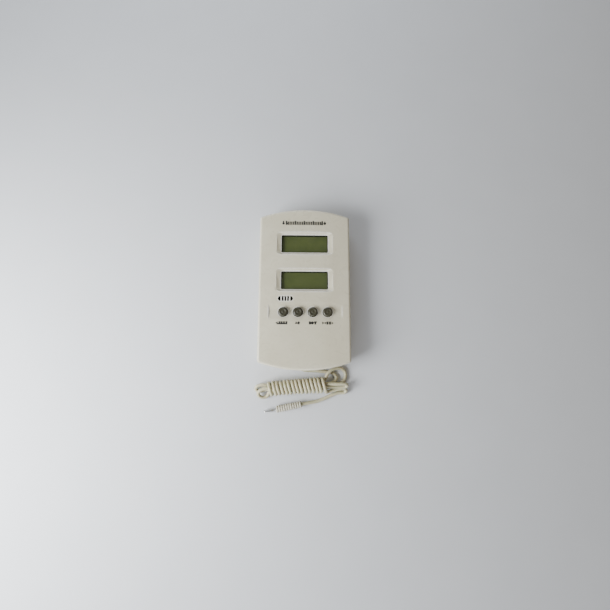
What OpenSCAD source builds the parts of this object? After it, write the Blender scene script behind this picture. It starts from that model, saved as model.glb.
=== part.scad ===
/* [Case] */
// Width of the case across the display
case_w = 60; // [58:0.5:64]
// Length of the case between the tops of its arched ends
case_l = 108; // [108:0.5:112]
// Height of the case from its back to the crown of its face
case_h = 16; // [16:0.1:17]
// How far each arched end rises above its corners
end_rise = 5.2; // [4.6:0.1:5.6]
// Fall of the crowned face from its middle to its long edges
crown_drop = 0.8; // [0.5:0.1:1]
// Wall thickness of both covers
wall = 1.6; // [1.5:0.1:1.7]
// Height of the joint between the two covers
split_z = 7; // [6.8:0.1:7.2]
// Step of the rear cover inside the edge of the front cover
rear_step = 0.8; // [0.6:0.1:0.9]

/* [Display] */
// Width of the sunk frame round each window
frame_w = 38.2; // [37:0.1:38.6]
// Height of the sunk frame round each window
frame_l = 15.4; // [15:0.1:15.8]
// Depth of the sunk frame below the crown of the face
frame_deep = 1.8; // [1.4:0.1:1.9]
// Width of the clear opening of each window
view_w = 31; // [28:0.5:33]
// Height of the clear opening of each window
view_l = 12; // [10:0.5:13]
// Middle of the upper window along the case
upper_y = 29.4; // [29:0.1:29.8]
// Middle of the lower window along the case
lower_y = 4.4; // [4:0.1:4.8]

/* [Keys] */
// Diameter of a key cap
key_d = 6; // [5.6:0.1:6.2]
// Distance between neighbouring keys
key_pitch = 9.6; // [9.4:0.1:9.8]
// Middle of the row of keys along the case
key_y = -16.8; // [-17:0.1:-16.6]
// Middle of the row of keys across the case
key_mid = 0.6; // [0.4:0.1:0.8]
// Height of a key cap's crown above the back of the case
key_top = 17.4; // [17:0.1:17.8]
// Free gap round a key cap in its hole
key_gap = 0.3; // [0.25:0.05:0.4]
// Depth of the trough round the keys below the crown of the face
trough_deep = 1.1; // [0.9:0.1:1.2]
// Length of the trough round the keys
trough_w = 47.6; // [46:0.1:48]

/* [Battery] */
// Diameter of the cell
cell_d = 10.5; // [10.2:0.1:10.5]
// Length of the cell with its nipple
cell_l = 44.5; // [43.5:0.1:44.5]
// Middle of the cell along the case
cell_y = -37; // [-37.1:0.1:-36.9]

/* [Stand] */
// Width of the folding stand
stand_w = 28; // [26:0.5:28]
// Length of the folding stand from its pivot to its free end
stand_l = 34; // [30:0.5:34]
// Place of the stand's pivot along the case
stand_y = 33; // [33:0.1:33.4]
// Radius of the stand's stub pins
pin_r = 0.9; // [0.8:0.05:0.95]

/* [Lead] */
// Diameter of the sensor lead
lead_d = 2.2; // [2:0.1:2.2]
// Width of the tied hank
hank_w = 10.8; // [10.4:0.1:11]
// Height of the tied hank
hank_h = 8.6; // [8.4:0.1:8.8]
// Length of the wound part of the hank
hank_l = 38; // [37.5:0.1:38]
// Largest diameter of the ribbed sleeve on the probe
sleeve_d = 4.6; // [4.4:0.1:4.7]
// Length of the ribbed sleeve on the probe
sleeve_l = 16.7; // [16:0.1:17.5]
// Diameter of the metal probe tip
tip_d = 2.2; // [2:0.1:3]

/* [Hidden] */
$fn = 64;
eps = 0.01;
ivory = [0.9, 0.89, 0.84];
lead_white = [0.93, 0.92, 0.88];
key_grey = [0.3, 0.31, 0.26];
board_green = [0.1, 0.33, 0.2];
steel = [0.75, 0.75, 0.73];

end_r = (case_w * case_w / 4 + end_rise * end_rise) / (2 * end_rise);
crown_r = (case_w * case_w / 4 + crown_drop * crown_drop) / (2 * crown_drop);
skin = 1.8;
crown_fn = 720;

// floors of the sunk frames and what lies under them
frame_floor = case_h - frame_deep;
pane_h = 1;
pane_top = frame_floor - 0.6;
pane_w = view_w + 4;
pane_l = view_l + 3.6;
lcd_h = 2;
lcd_top = pane_top - pane_h - 0.1;
lcd_w = view_w + 5;
lcd_l = view_l + 5;
seat_gap = 0.2;
block_w = 40.4;
block_l = 20;
board_h = 1.6;
board_top = lcd_top - lcd_h - 3;
board_w = 50.8;
board_lo = -26;
board_hi = 40;
zebra_off = lcd_l / 2 - 1.4;
zebra_t = 2.2;

// keys
key_r = key_d / 2;
trough_r = 16.5;
trough_y = key_y + 0.3;
pad_h = 0.8;
pad_top = board_top + pad_h;
pad_w = 46;
pad_l = 8.8;
pill_r = 1.5;
pill_lo = board_top + 0.9;
pill_h = 0.5;
cap_lo = pill_lo + pill_h;
dome_in = key_r + 0.6;
dome_out = key_r + 1.2;
dome_h = 1.6;
crown_ball = 5.5;
dish_ball = 6;

// vent of five slots
vent_x = -12.4;
vent_y = -8;
vent_w = 9.8;
vent_l = 3.35;
bar_w = 0.9;
bar_pitch = 1.75;

// screws
case_posts = [[-24.5, 44], [24.5, 44], [-14, -48.2], [14, -48.2]];
board_posts = [[-22.5, 17], [22.5, 17], [-21.8, -23.8], [21.8, -23.8]];
post_r = 2.6;
small_post_r = 2;
screw_r = 1;
head_r = 2;
head_h = 1.3;
head_z = 0.5;
small_screw_r = 0.8;
small_head_r = 1.5;
thread_gap = 0.02;

// battery bay
cell_z = 7.1;
bay_hx = 25;
bay_hy = cell_d / 2 + 0.35;
bay_wall = 1;
bay_roof = cell_z + cell_d / 2 + 0.25;
roof_t = 0.5;
bay_end_x = case_w / 2 - rear_step - wall + 0.1;
cell_plus_x = 23.6;
nipple_h = 0.8;
nipple_r = 1.9;
door_hx = 26;
door_lo = cell_y - 7.8;
door_hi = cell_y + 7.8;
door_h = 1.4;
door_gap = 0.25;
tongue_w = 8;
tongue_l = 1.9;
tongue_top = 2.4;
door_axis_y = door_hi - door_h / 2;
tongue_x = 15;
latch_w = 10;

// stand
pivot_z = 1.5;
barrel_r = 1.2;
stand_h = 1.8;
stand_lo = 0.3;
stand_gap = 0.4;
stub_l = 1.5;
recess_top = 3;
stand_block = 4.4;

// keyhole
hole_y = 43;
hole_r = 3.5;
slot_r = 1.75;
slot_y = 48;

// notch and grommet of the lead
notch_x0 = -8;
notch_x1 = 4.5;
notch_y = -48.9;
exit_x = -4;
exit_z = 3.2;
grommet_r = 1.7;
flange_r = 2.2;
flange_t = 0.6;
wire_r = 0.45;
sense_r = 0.4;

// hank
hank_x = -23;
hank_y = -66.3;
hank_turn = 4.1;

// probe
sleeve_x = -1.6;
sleeve_y = -76;
probe_z = 2.35;
probe_turn = 191.5;
rib_count = 11;
rib_deep = 0.3;
rib_pitch = sleeve_l / rib_count;
sleeve_end_r = 2.2;
neck_r = 0.65;
neck_l = 2.3;
bead_r = 0.6;
tip_l = 6;

// routes of the lead where it is not wound
out_route = [
    [-4, -46.7, 3.2], [-4, -49.6, 3.2], [-3.2, -51.8, 3], [-1.4, -53.4, 2.6], [1.5, -54.2, 2],
    [5.2, -54.4, 1.5], [9.8, -54.7, 1.2], [14.4, -55.2, 1.2], [18.2, -55.6, 1.2], [20.6, -57, 1.2],
    [21.6, -59.2, 1.4], [20.4, -61.2, 2], [17.6, -62.6, 2.8], [14.6, -63.4, 3.3]
];
loop_route = [
    [13.8, -60, 3.4], [14.9, -57.8, 3.8], [16.4, -55.6, 3.8], [18.6, -53.9, 3.4], [21.2, -52.9, 2.8],
    [24, -52.8, 2.2], [26.4, -53.9, 1.6], [27.7, -56.2, 1.2], [27.6, -58.8, 1.2], [26.4, -61.2, 1.2],
    [23.8, -63, 1.2], [19.4, -64.4, 1.3], [15, -65.5, 2.8]
];
fold_route = [
    [14.8, -62.6, 5.3], [18.8, -62.7, 5.9], [23, -62.7, 6.1], [26.3, -63, 5.7], [28, -63.6, 4.6],
    [27.6, -64.2, 3.7], [25, -64.5, 3.5], [20.6, -64.8, 3.8], [15, -64.6, 5]
];
tail_route = [
    [14.8, -67.4, 2.8], [18.6, -67, 3], [23, -66.3, 3.2], [26.4, -66, 3.1], [28.4, -66.8, 2.4],
    [27.8, -68, 1.5], [25, -68.6, 1.2], [21.4, -69, 1.2], [17.6, -70.6, 1.2], [13, -72.7, 1.2],
    [8, -74.4, 1.3], [3.2, -75.2, 1.85],
    [-1.6, -76, 2.35]
];
left_a_route = [
    [-22.8, -66.3, 3.3], [-26, -67, 1.6], [-29.2, -67.9, 1.3], [-31.4, -67, 1.6], [-31.3, -65.2, 2.4],
    [-28.8, -63.9, 3.1], [-25.8, -63.7, 3.4], [-22.8, -64.2, 3.3]
];
left_b_route = [
    [-22.6, -68.4, 3], [-23.8, -70.6, 1.8], [-26.1, -71.8, 1.6], [-28.7, -71.2, 2.4], [-29.8, -69.2, 3.6],
    [-28.5, -67.2, 4.6], [-25.7, -65.9, 5.2], [-22.8, -65.4, 5.3]
];
red_route = [[24.4, -33.6, 11.9], [24.4, -31, 11.9], [24.4, -29, 10.8], [24.5, -26.6, 9], [24.6, -24.8, 7.6]];
black_route = [for (p = red_route) [-p[0], p[1], p[2]]];
sense_route = [
    [-4, -46, 3.2], [-4.4, -45, 4.6], [-5, -44.8, 9], [-5.6, -44.7, 12.2], [-5.9, -44.2, 13.3],
    [-6, -43, 13.65], [-6, -30, 13.65], [-6, -29.2, 13.3], [-6, -28.4, 12], [-6, -27, 9.6], [-6, -25, 7.7]
];

// direction from one route point to the next, halved at the joints of the route
function unit(v) = v / norm(v);
function heading(p, i) =
    i == 0 ? unit(p[1] - p[0])
    : i == len(p) - 1 ? unit(p[i] - p[i - 1])
    : unit(unit(p[i] - p[i - 1]) + unit(p[i + 1] - p[i]));
function sideways(p, i) = unit(cross(heading(p, i), [0, 0, 1]));
function ring(p, i, r, n) = [
    for (k = [0 : n - 1])
        let (a = 360 * k / n, s = sideways(p, i), u = cross(s, heading(p, i)))
        p[i] + r * cos(a) * s + r * sin(a) * u
];

// triangles that close the rings of a swept tube, walls and both ends
function tube_faces(m, n) = concat(
    [for (i = [0 : m - 2], k = [0 : n - 1]) [i * n + k, i * n + (k + 1) % n, (i + 1) * n + (k + 1) % n]],
    [for (i = [0 : m - 2], k = [0 : n - 1]) [i * n + k, (i + 1) * n + (k + 1) % n, (i + 1) * n + k]],
    [[for (k = [n - 1 : -1 : 0]) k]],
    [[for (k = [0 : n - 1]) (m - 1) * n + k]]
);

// a tube of n sides along the points p
module tube(p, r, n = 8) {
    rings = [for (i = [0 : len(p) - 1]) each ring(p, i, r, n)];
    polyhedron(points = rings, faces = tube_faces(len(p), n), convexity = 6);
}

// plan of the case, drawn in by a margin
module outline(margin) {
    centre = end_r - case_l / 2;
    intersection() {
        square([case_w - 2 * margin, case_l - 2 * margin], center = true);
        translate([0, -centre]) circle(r = end_r - margin, $fn = 360);
        translate([0, centre]) circle(r = end_r - margin, $fn = 360);
    }
}

module slab(margin, low, high) {
    translate([0, 0, low]) linear_extrude(high - low) outline(margin);
}

// everything below the crowned face, or below a face sunk under it
module under_crown(sunk) {
    translate([0, 0, case_h - crown_r])
        rotate([90, 0, 0]) cylinder(r = crown_r - sunk, h = 2 * case_l, center = true, $fn = crown_fn);
}

// a box given by its low and high corners
module box(low, high) {
    translate(low) cube(high - low);
}

module at_each(places) {
    for (p = places) translate([p[0], p[1], 0]) children();
}

function key_x(i) = key_mid + (i - 2.5) * key_pitch;

module at_keys() {
    for (i = [0 : 3]) translate([key_x(i + 1), key_y, 0]) children();
}

module vent_slots() {
    intersection() {
        translate([vent_x, vent_y, frame_floor - 4]) linear_extrude(8) {
            square([vent_w - vent_l, vent_l], center = true);
            for (s = [-1, 1]) translate([s * (vent_w - vent_l) / 2, 0]) circle(d = vent_l);
        }
        translate([vent_x, vent_y, frame_floor - 5]) linear_extrude(10) {
            for (i = [-1 : 1]) translate([i * bar_pitch, 0]) square([bar_w, vent_l], center = true);
            for (s = [-1, 1]) translate([s * vent_w / 2, 0])
                square([2 * bar_pitch, vent_l + 1], center = true);
        }
    }
}

module window_cuts(y) {
    translate([0, y, 0]) {
        box([-frame_w / 2, -frame_l / 2, frame_floor], [frame_w / 2, frame_l / 2, case_h + 1]);
        box([-view_w / 2, -view_l / 2, pane_top - 1], [view_w / 2, view_l / 2, case_h]);
        box([-pane_w / 2 - seat_gap, -pane_l / 2 - seat_gap, pane_top - 2],
            [pane_w / 2 + seat_gap, pane_l / 2 + seat_gap, pane_top]);
        box([-lcd_w / 2 - seat_gap, -lcd_l / 2 - seat_gap, board_top - 1],
            [lcd_w / 2 + seat_gap, lcd_l / 2 + seat_gap, lcd_top + 0.1]);
    }
}

module front_cover() color(ivory) difference() {
    union() {
        difference() {
            intersection() {
                slab(0, split_z, case_h + 1);
                under_crown(0);
            }
            intersection() {
                slab(wall, split_z - 1, case_h);
                under_crown(skin);
            }
        }
        intersection() {
            under_crown(skin / 2);
            union() {
                for (y = [upper_y, lower_y])
                    box([-block_w / 2, y - block_l / 2, board_top + 1.5],
                        [block_w / 2, y + block_l / 2, case_h]);
                at_each(case_posts) translate([0, 0, split_z]) cylinder(r = post_r, h = case_h);
                at_each(board_posts) translate([0, 0, board_top]) cylinder(r = small_post_r, h = case_h);
            }
        }
    }
    for (y = [upper_y, lower_y]) window_cuts(y);
    at_keys() translate([0, 0, frame_floor - 4]) cylinder(r = key_r + key_gap, h = 8);
    translate([key_mid, trough_y, case_h - trough_deep + trough_r])
        rotate([0, 90, 0]) cylinder(r = trough_r, h = trough_w, center = true, $fn = 180);
    vent_slots();
    at_each(case_posts) translate([0, 0, split_z - 1]) cylinder(r = screw_r + thread_gap, h = 6);
    at_each(board_posts) translate([0, 0, board_top - 1])
        cylinder(r = small_screw_r + thread_gap, h = 4);
}

module window_pane(y) color([0.75, 0.8, 0.78, 0.4])
    box([-pane_w / 2, y - pane_l / 2, pane_top - pane_h], [pane_w / 2, y + pane_l / 2, pane_top]);

module window_upper() window_pane(upper_y);

module window_lower() window_pane(lower_y);

// liquid crystal cell: the rear glass is longer than the front one and carries the contact ledge
module lcd_glass(y) color([0.33, 0.38, 0.22]) {
    half = lcd_h / 2;
    box([-lcd_w / 2, y - lcd_l / 2, lcd_top - lcd_h], [lcd_w / 2, y + lcd_l / 2, lcd_top - half]);
    box([-lcd_w / 2, y - lcd_l / 2 + 1.6, lcd_top - half - eps], [lcd_w / 2, y + lcd_l / 2, lcd_top]);
}

module lcd_upper() lcd_glass(upper_y);

module lcd_lower() lcd_glass(lower_y);

// rubber strips that carry the signals from the board to the glass
module zebra_pair(y) color([0.2, 0.2, 0.22])
    for (s = [-1, 1])
        box([-lcd_w / 2 + 1, y + s * zebra_off - zebra_t / 2, board_top],
            [lcd_w / 2 - 1, y + s * zebra_off + zebra_t / 2, lcd_top - lcd_h]);

module zebra_upper() zebra_pair(upper_y);

module zebra_lower() zebra_pair(lower_y);

module circuit_board() color(board_green) difference() {
    box([-board_w / 2, board_lo, board_top - board_h], [board_w / 2, board_hi, board_top]);
    at_each(board_posts) translate([0, 0, board_top - board_h - 1])
        cylinder(r = small_screw_r + 0.15, h = board_h + 2);
}

// bonded chip under its drop of black resin
module chip_blob() color([0.05, 0.05, 0.05]) translate([0, 17, board_top]) intersection() {
    translate([0, 0, -5.6]) sphere(r = 7, $fn = 96);
    cylinder(r = 4, h = 3);
}

module crystal() color(steel) translate([9, 17, board_top + 1.1])
    rotate([0, 90, 0]) cylinder(r = 1.1, h = 6.2);

module resistors() color([0.75, 0.6, 0.42])
    for (i = [0 : 3]) translate([-17.5 + 2.6 * i, 17, board_top + 0.9])
        rotate([90, 0, 0]) cylinder(r = 0.85, h = 3.2, center = true);

module capacitors() color([0.8, 0.5, 0.15])
    for (x = [2, 9, 16]) translate([x, -8.4, board_top + 2.2])
        rotate([90, 0, 0]) cylinder(r = 2.1, h = 1.6, center = true);

// humidity element: a thin ceramic comb plate on two legs under the vent
module humidity_sensor() color([0.85, 0.85, 0.8]) translate([vent_x, vent_y, board_top]) {
    box([-4, -1.9, 3], [4, 1.9, 3.7]);
    for (x = [-2.5, 2.5]) translate([x, 0, 0]) cylinder(r = 0.3, h = 3.1);
}

module room_thermistor() color([0.1, 0.1, 0.1]) translate([vent_x + 7, vent_y, board_top]) {
    translate([0, 0, 3.2]) sphere(r = 1);
    for (x = [-0.5, 0.5]) translate([x, 0, 0]) cylinder(r = 0.2, h = 2.8);
}

module keypad_sheet() color(key_grey) difference() {
    translate([key_mid, key_y, board_top]) box([-pad_w / 2, -pad_l / 2, 0], [pad_w / 2, pad_l / 2, pad_h]);
    at_keys() translate([0, 0, board_top - 1]) cylinder(r = dome_in, h = 3);
}

// key cap with a rounded crown and a shallow dish sunk in it
module button(i) color(key_grey) translate([key_x(i), key_y, 0]) difference() {
    intersection() {
        translate([0, 0, cap_lo]) cylinder(r = key_r, h = key_top - cap_lo);
        union() {
            translate([0, 0, key_top - crown_ball]) sphere(r = crown_ball, $fn = 96);
            translate([0, 0, cap_lo - 1]) cylinder(r = key_r + 1, h = key_top - crown_ball - cap_lo + 2);
        }
    }
    translate([0, 0, key_top + dish_ball - 0.3]) sphere(r = dish_ball, $fn = 96);
}

module button_1() button(1);

module button_2() button(2);

module button_3() button(3);

module button_4() button(4);

// rubber skirt that joins a key cap to the sheet and springs it back
module dome(i) color(key_grey) translate([key_x(i), key_y, 0]) rotate_extrude()
    polygon([
        [dome_in, pad_top], [dome_out, pad_top], [key_r + 0.5, pad_top + dome_h],
        [key_r + eps, pad_top + dome_h], [key_r + eps, pad_top + dome_h - 0.5]
    ]);

module dome_1() dome(1);

module dome_2() dome(2);

module dome_3() dome(3);

module dome_4() dome(4);

module pill(i) color([0.06, 0.06, 0.06]) translate([key_x(i), key_y, pill_lo])
    cylinder(r = pill_r, h = pill_h);

module pill_1() pill(1);

module pill_2() pill(2);

module pill_3() pill(3);

module pill_4() pill(4);

module rear_cover() color(ivory) difference() {
    union() {
        difference() {
            slab(rear_step, 0, split_z);
            slab(rear_step + wall, wall, split_z + 1);
        }
        difference() {
            slab(wall + 0.1, split_z - 1, split_z + 1);
            slab(rear_step + wall, split_z - 2, split_z + 2);
            at_each(case_posts) translate([0, 0, split_z]) cylinder(r = post_r + 0.2, h = 2);
        }
        at_each(case_posts) translate([0, 0, eps]) cylinder(r = post_r, h = split_z - 2 * eps);
        box([-stand_w / 2 - 3, stand_y - stand_l - 3.6, eps], [stand_w / 2 + 3, stand_y + 3, stand_block]);
        intersection() {
            slab(rear_step, eps, split_z - eps);
            box([notch_x0 - wall, -case_l, 0], [notch_x1 + wall, notch_y + wall, split_z]);
        }
        difference() {
            box([-bay_end_x, cell_y - bay_hy - bay_wall, wall],
                [bay_end_x, cell_y + bay_hy + bay_wall, bay_roof + roof_t]);
            box([-bay_hx, cell_y - bay_hy, 0], [bay_hx, cell_y + bay_hy, bay_roof]);
        }
        translate([0, hole_y, eps]) cylinder(r = hole_r + 2, h = 2 - eps);
    }
    // opening of the battery door
    box([-door_hx - door_gap, door_lo - door_gap, -1], [door_hx + door_gap, door_hi + door_gap, wall]);
    // pockets in the bay's wall for the door's tongues, and slots for the battery wires
    for (s = [-1, 1]) {
        box([s * tongue_x - tongue_w / 2 - 0.4, cell_y + bay_hy - 0.2, 1],
            [s * tongue_x + tongue_w / 2 + 0.4, door_hi + door_gap, 3.2]);
        box([s * red_route[0][0] - 0.6, cell_y + bay_hy - 0.2, 11],
            [s * red_route[0][0] + 0.6, cell_y + bay_hy + bay_wall + 0.2, 14]);
    }
    // bed of the folding stand with its pin bores and finger notch
    box([-stand_w / 2 - stand_gap, stand_y - stand_l - 0.4, -1],
        [stand_w / 2 + stand_gap, stand_y + 1.7, recess_top]);
    translate([0, stand_y, pivot_z]) rotate([0, 90, 0])
        cylinder(r = pin_r + 0.05, h = stand_w + 2 * stub_l + 0.6, center = true);
    translate([0, stand_y - stand_l - 0.4, -3.4]) sphere(r = 5.4);
    // keyhole for a wall hook
    translate([0, hole_y, -1]) cylinder(r = hole_r, h = 4);
    box([-slot_r, hole_y, -1], [slot_r, slot_y, 4]);
    translate([0, slot_y, -1]) cylinder(r = slot_r, h = 4);
    // notch of the lead and the hole of its grommet
    box([notch_x0, -case_l, -1], [notch_x1, notch_y, split_z - 1]);
    translate([exit_x, notch_y + wall / 2, exit_z]) rotate([90, 0, 0])
        cylinder(r = grommet_r, h = wall + 2, center = true);
    // seats and holes of the case screws
    at_each(case_posts) {
        translate([0, 0, -1]) cylinder(r = head_r + 0.3, h = 1 + head_z + head_h);
        translate([0, 0, -1]) cylinder(r = screw_r + 0.25, h = split_z + 3);
    }
}

module case_screws() color(steel) at_each(case_posts) difference() {
    union() {
        translate([0, 0, head_z]) cylinder(r = head_r, h = head_h);
        translate([0, 0, head_z + head_h - eps]) cylinder(r = screw_r, h = 9.5);
    }
    for (a = [0, 90]) translate([0, 0, head_z]) rotate([0, 0, a]) cube([2.2, 0.5, 1.2], center = true);
}

module board_screws() color(steel) at_each(board_posts) difference() {
    union() {
        translate([0, 0, board_top - board_h - 1]) cylinder(r = small_head_r, h = 1);
        translate([0, 0, board_top - board_h - eps]) cylinder(r = small_screw_r, h = board_h + 2.8);
    }
    for (a = [0, 90]) translate([0, 0, board_top - board_h - 1]) rotate([0, 0, a])
        cube([1.8, 0.4, 0.9], center = true);
}

// door whose rounded upper edge turns in the opening while two hooked tongues hold it in the cover
module battery_door() color(ivory) difference() {
    union() {
        box([-door_hx, door_lo, 0], [door_hx, door_axis_y, door_h]);
        translate([0, door_axis_y, door_h / 2]) rotate([0, 90, 0])
            cylinder(d = door_h, h = 2 * door_hx, center = true);
        for (s = [-1, 1]) translate([s * tongue_x, door_axis_y, 0]) {
            box([-tongue_w / 2, -0.3, door_h / 2], [tongue_w / 2, 0.5, tongue_top]);
            box([-tongue_w / 2, 0, wall + 0.15], [tongue_w / 2, tongue_l, tongue_top]);
        }
    }
    // slots that free the latch tongue, and the finger grooves on it
    for (s = [-1, 1]) box([s * latch_w / 2 - 0.4, door_lo - 1, -1], [s * latch_w / 2 + 0.4, door_lo + 5, 3]);
    for (i = [0 : 2]) translate([0, door_lo + 1.6 + 1.5 * i, 0]) rotate([0, 90, 0])
        cylinder(r = 0.4, h = latch_w - 3, center = true, $fn = 24);
}

module stand() color(ivory) difference() {
    union() {
        box([-stand_w / 2, stand_y - stand_l, stand_lo], [stand_w / 2, stand_y, stand_lo + stand_h]);
        translate([0, stand_y, pivot_z]) rotate([0, 90, 0])
            cylinder(r = barrel_r, h = stand_w, center = true);
        translate([0, stand_y, pivot_z]) rotate([0, 90, 0])
            cylinder(r = pin_r, h = stand_w + 2 * stub_l, center = true);
    }
    for (i = [0 : 3]) translate([0, stand_y - stand_l + 2.4 + 1.6 * i, stand_lo]) rotate([0, 90, 0])
        cylinder(r = 0.4, h = stand_w - 8, center = true, $fn = 24);
    box([-stand_w / 2 + 4, stand_y - stand_l + 10, stand_lo + 1.1], [stand_w / 2 - 4, stand_y - 4, 5]);
}

module battery_cell() color([0.25, 0.35, 0.6]) translate([cell_plus_x, cell_y, cell_z]) rotate([0, -90, 0]) {
    cylinder(r = nipple_r, h = 2);
    translate([0, 0, nipple_h]) cylinder(r = cell_d / 2, h = cell_l - nipple_h);
}

// coil that presses on the flat end of the cell
module battery_spring() color(steel) {
    coil_r = 2.6;
    coil_wire = 0.35;
    coil_turns = 3;
    coil_x = -bay_hx + 0.5 + coil_wire;
    coil_l = cell_plus_x - cell_l - coil_x - coil_wire;
    steps = coil_turns * 14;
    translate([0, cell_y, cell_z]) polyhedron_coil(
        [for (i = [0 : steps]) let (a = 360 * coil_turns * i / steps)
            [coil_x + coil_l * i / steps, coil_r * cos(a), coil_r * sin(a)]], coil_wire, 6);
}

// the coil's rings keep the coil's own axis as their upright, because its wire never runs along it
module polyhedron_coil(p, r, n) {
    m = len(p);
    rings = [for (i = [0 : m - 1]) each
        let (h = heading(p, i), s = unit(cross(h, [1, 0, 0])), u = cross(s, h))
        [for (k = [0 : n - 1]) p[i] + r * cos(360 * k / n) * s + r * sin(360 * k / n) * u]];
    polyhedron(points = rings, faces = tube_faces(m, n), convexity = 8);
}

module battery_plate() color(steel)
    box([-bay_hx, cell_y - 4, cell_z - 4.5], [-bay_hx + 0.5, cell_y + 4, cell_z + 4.5]);

module battery_contact() color(steel) {
    box([bay_hx - 0.5, cell_y - 4, cell_z - 4.5], [bay_hx, cell_y + 4, cell_z + 4.5]);
    translate([cell_plus_x, cell_y, cell_z]) rotate([0, 90, 0])
        cylinder(r = 1.4, h = bay_hx - 0.4 - cell_plus_x);
}

module battery_wires() {
    color("red") tube(red_route, wire_r, 6);
    color("black") tube(black_route, wire_r, 6);
}

module sensor_wires() color("gold") tube(sense_route, sense_r, 6);

module lead_grommet() color(lead_white) translate([exit_x, notch_y, exit_z]) rotate([90, 0, 0]) difference() {
    union() {
        translate([0, 0, -wall]) cylinder(r = grommet_r, h = wall + flange_t);
        cylinder(r = flange_r, h = flange_t);
        translate([0, 0, -wall - flange_t]) cylinder(r = flange_r, h = flange_t);
    }
    translate([0, 0, -wall - 2]) cylinder(r = lead_d / 2 + 0.02, h = wall + 4);
}

module lead_out() color(lead_white) tube(out_route, lead_d / 2);

module lead_loop_right() color(lead_white) tube(loop_route, lead_d / 2);

module lead_fold_right() color(lead_white) tube(fold_route, lead_d / 2);

module lead_tail() color(lead_white) tube(tail_route, lead_d / 2);

module lead_loop_left_a() color(lead_white) tube(left_a_route, lead_d / 2);

module lead_loop_left_b() color(lead_white) tube(left_b_route, lead_d / 2);

// outer shape of the wound part of the hank, a bar of round-ended section
module lead_hank() color(lead_white) translate([hank_x, hank_y, hank_h / 2]) rotate([0, 0, hank_turn])
    rotate([90, 0, 90]) linear_extrude(hank_l) {
        square([hank_w - hank_h, hank_h], center = true);
        for (s = [-1, 1]) translate([s * (hank_w - hank_h) / 2, 0]) circle(d = hank_h);
    }

module along_probe() {
    translate([sleeve_x, sleeve_y, probe_z]) rotate([0, 0, probe_turn]) rotate([0, 90, 0]) children();
}

// ribbed strain sleeve: its ribs grow smaller towards the metal tip
module probe_sleeve() color(lead_white) along_probe() rotate_extrude() polygon(concat(
    [[0, 0]],
    [for (i = [0 : rib_count - 1])
        let (r = sleeve_d / 2 - (sleeve_d / 2 - sleeve_end_r) * i / rib_count, z = i * rib_pitch)
        each [
            [r - rib_deep, z], [r, z + 0.3 * rib_pitch], [r, z + 0.7 * rib_pitch],
            [r - rib_deep, z + rib_pitch - eps]
        ]],
    [[sleeve_end_r - 0.4, sleeve_l], [0, sleeve_l]]
));

module probe_tip() color(steel) along_probe() translate([0, 0, sleeve_l]) difference() {
    union() {
        cylinder(r = neck_r, h = neck_l + 1);
        translate([0, 0, neck_l]) cylinder(d = tip_d, h = tip_l - tip_d / 2);
        translate([0, 0, neck_l + tip_l - tip_d / 2]) sphere(d = tip_d);
    }
    translate([0, 0, neck_l + 1.5]) cylinder(r = tip_d / 2 - 0.3, h = tip_l - tip_d / 2 - 1.5);
}

module probe_bead() color([0.1, 0.1, 0.1]) along_probe() translate([0, 0, sleeve_l + neck_l + 3])
    sphere(r = bead_r, $fn = 32);

front_cover();
rear_cover();
window_upper();
window_lower();
lcd_upper();
lcd_lower();
zebra_upper();
zebra_lower();
circuit_board();
chip_blob();
crystal();
resistors();
capacitors();
humidity_sensor();
room_thermistor();
keypad_sheet();
button_1();
button_2();
button_3();
button_4();
dome_1();
dome_2();
dome_3();
dome_4();
pill_1();
pill_2();
pill_3();
pill_4();
case_screws();
board_screws();
battery_door();
stand();
battery_cell();
battery_spring();
battery_plate();
battery_contact();
battery_wires();
sensor_wires();
lead_grommet();
lead_out();
lead_loop_right();
lead_fold_right();
lead_tail();
lead_loop_left_a();
lead_loop_left_b();
lead_hank();
probe_sleeve();
probe_tip();
probe_bead();
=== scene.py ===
from math import cos, pi, radians, sin, sqrt

import bmesh
import bpy
from mathutils import Matrix, Vector
from mathutils.geometry import interpolate_bezier


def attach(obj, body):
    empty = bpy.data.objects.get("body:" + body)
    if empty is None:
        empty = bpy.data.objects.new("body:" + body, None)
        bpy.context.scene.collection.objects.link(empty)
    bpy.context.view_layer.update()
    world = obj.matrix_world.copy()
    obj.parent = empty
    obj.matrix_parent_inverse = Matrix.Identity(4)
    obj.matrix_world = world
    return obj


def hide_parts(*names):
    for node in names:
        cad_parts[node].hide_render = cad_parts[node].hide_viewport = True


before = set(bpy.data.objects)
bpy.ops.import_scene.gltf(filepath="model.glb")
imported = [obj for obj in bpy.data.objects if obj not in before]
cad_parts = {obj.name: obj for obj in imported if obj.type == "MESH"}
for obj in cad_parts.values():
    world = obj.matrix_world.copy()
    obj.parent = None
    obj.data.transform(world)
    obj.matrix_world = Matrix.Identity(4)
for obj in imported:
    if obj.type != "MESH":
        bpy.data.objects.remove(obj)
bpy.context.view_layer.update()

# ---------------------------------------------------------------- camera, floor and lights
# The instrument lies on its back on a pale bench. The camera looks down on it from just below
# its middle, a forearm's length away, with a wide lens.
camera_data = bpy.data.cameras.new("bench_camera")
camera_data.lens = 20.07
camera_data.clip_start = 0.01
camera_data.clip_end = 20
camera = bpy.data.objects.new("bench_camera", camera_data)
camera.location = (-0.00304, -0.04654, 0.23278)
camera.rotation_euler = (radians(8.97), radians(-0.93), radians(0.24))
bpy.context.scene.collection.objects.link(camera)
bpy.context.scene.camera = camera


def fresh(name):
    """Names the primitive just added and puts its place into its mesh."""
    made = bpy.context.object
    made.name = name
    made.data.name = name
    bpy.ops.object.transform_apply(location=True, rotation=True, scale=True)
    return made


def select_only(piece):
    bpy.ops.object.select_all(action="DESELECT")
    piece.select_set(True)
    bpy.context.view_layer.objects.active = piece


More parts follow.
